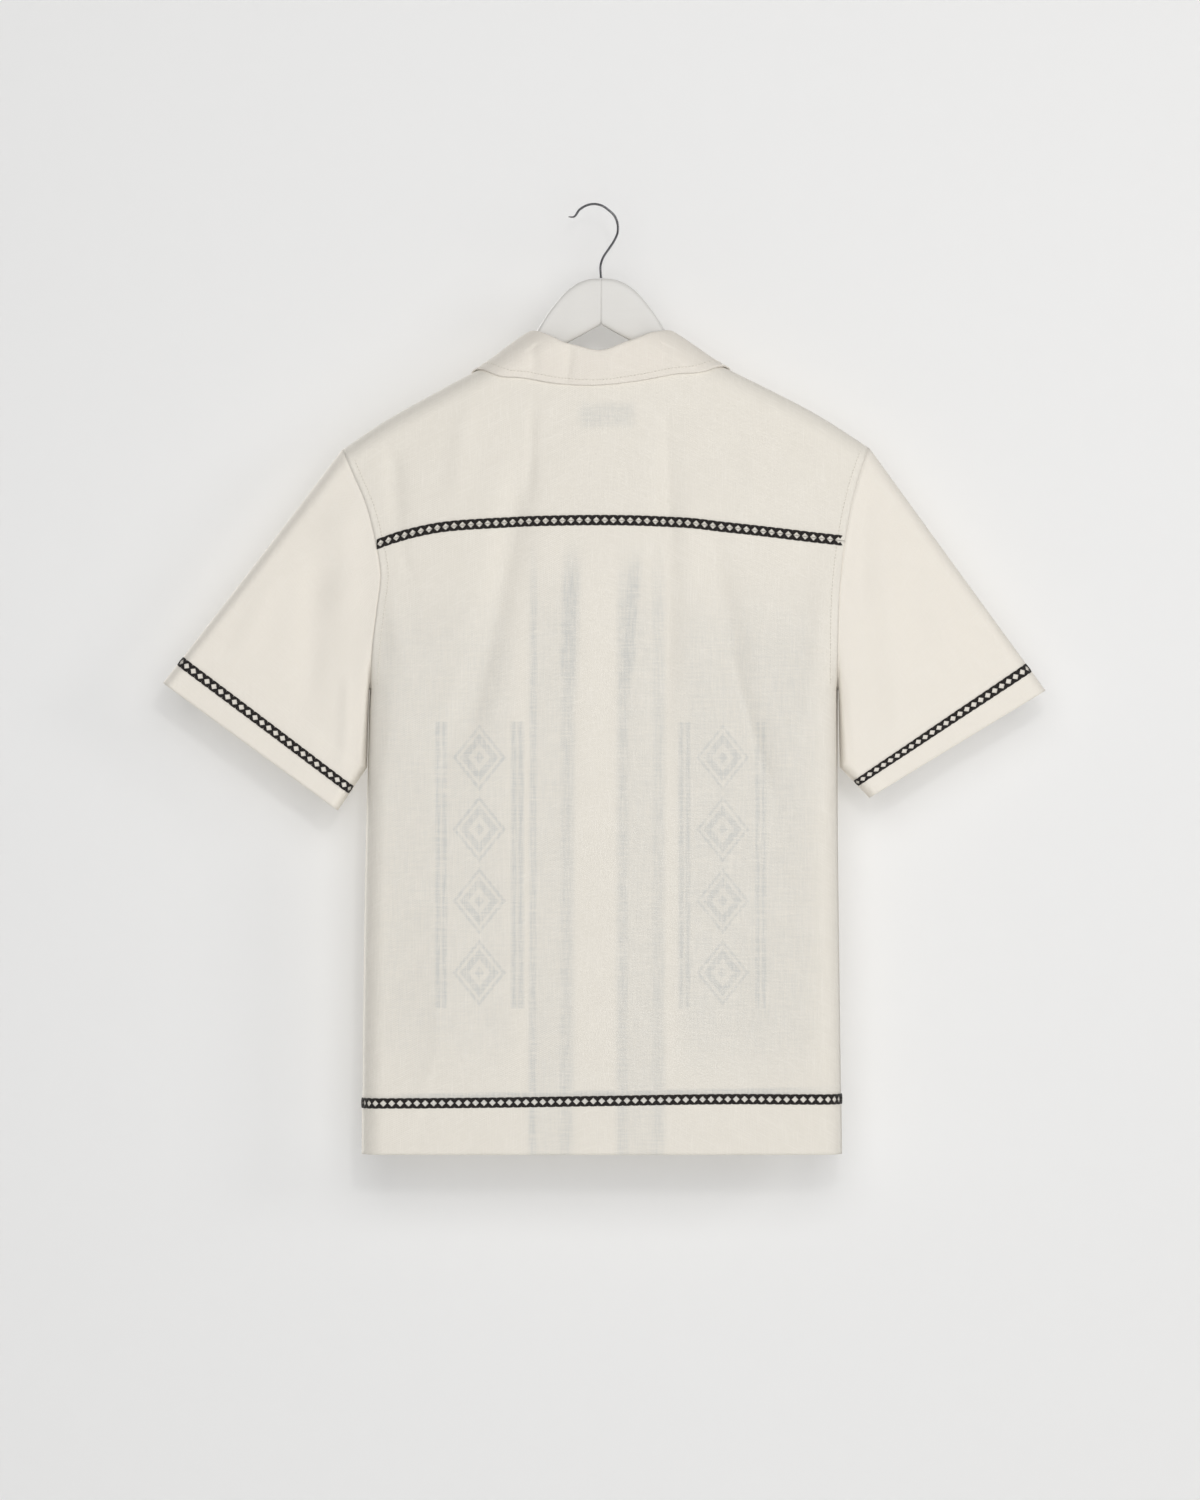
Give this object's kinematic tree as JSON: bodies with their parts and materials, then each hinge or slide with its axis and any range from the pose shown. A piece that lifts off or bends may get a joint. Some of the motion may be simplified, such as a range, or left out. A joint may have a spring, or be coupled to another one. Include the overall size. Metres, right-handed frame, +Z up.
{
  "type": "short-sleeve camp-collar shirt on a hanger",
  "caption": "Boxy short-sleeve camp-collar shirt with openwork braid trim, hanging on a contoured wooden hanger with a wire hook.",
  "frame": {"origin": "inside of the hook's top, where a rail carries the hanger", "axes": "+Z up, -Y out of the shirt's back (the side pictured), +Y out of its front, +X to the right as seen from behind"},
  "size_m": [0.8156, 0.0576, 0.8779],
  "materials": {
    "cream_cloth": "matt slub plain weave, off white",
    "black_braid": "matt black openwork braid",
    "label_cloth": "smooth woven label, blank",
    "pale_shell": "pale shell, slightly glossy",
    "white_paint": "wood under satin white paint",
    "polished_steel": "polished wire"
  },
  "bodies": {
    "root": {"yoke": "cream_cloth", "back": "cream_cloth", "front_left": "cream_cloth", "front_right": "cream_cloth", "collar": "cream_cloth", "sleeve_left": "cream_cloth", "sleeve_right": "cream_cloth", "braid_yoke": "black_braid", "braid_hem_back": "black_braid", "braid_hem_front_left": "black_braid", "braid_hem_front_right": "black_braid", "braid_sleeve_left_back": "black_braid", "braid_sleeve_left_front": "black_braid", "braid_sleeve_right_back": "black_braid", "braid_sleeve_right_front": "black_braid", "neck_label": "label_cloth", "button_1": "pale_shell", "button_2": "pale_shell", "button_3": "pale_shell", "button_4": "pale_shell", "button_5": "pale_shell", "hanger_left": "white_paint", "hanger_right": "white_paint", "hook": "polished_steel"}
  },
  "joints": []
}
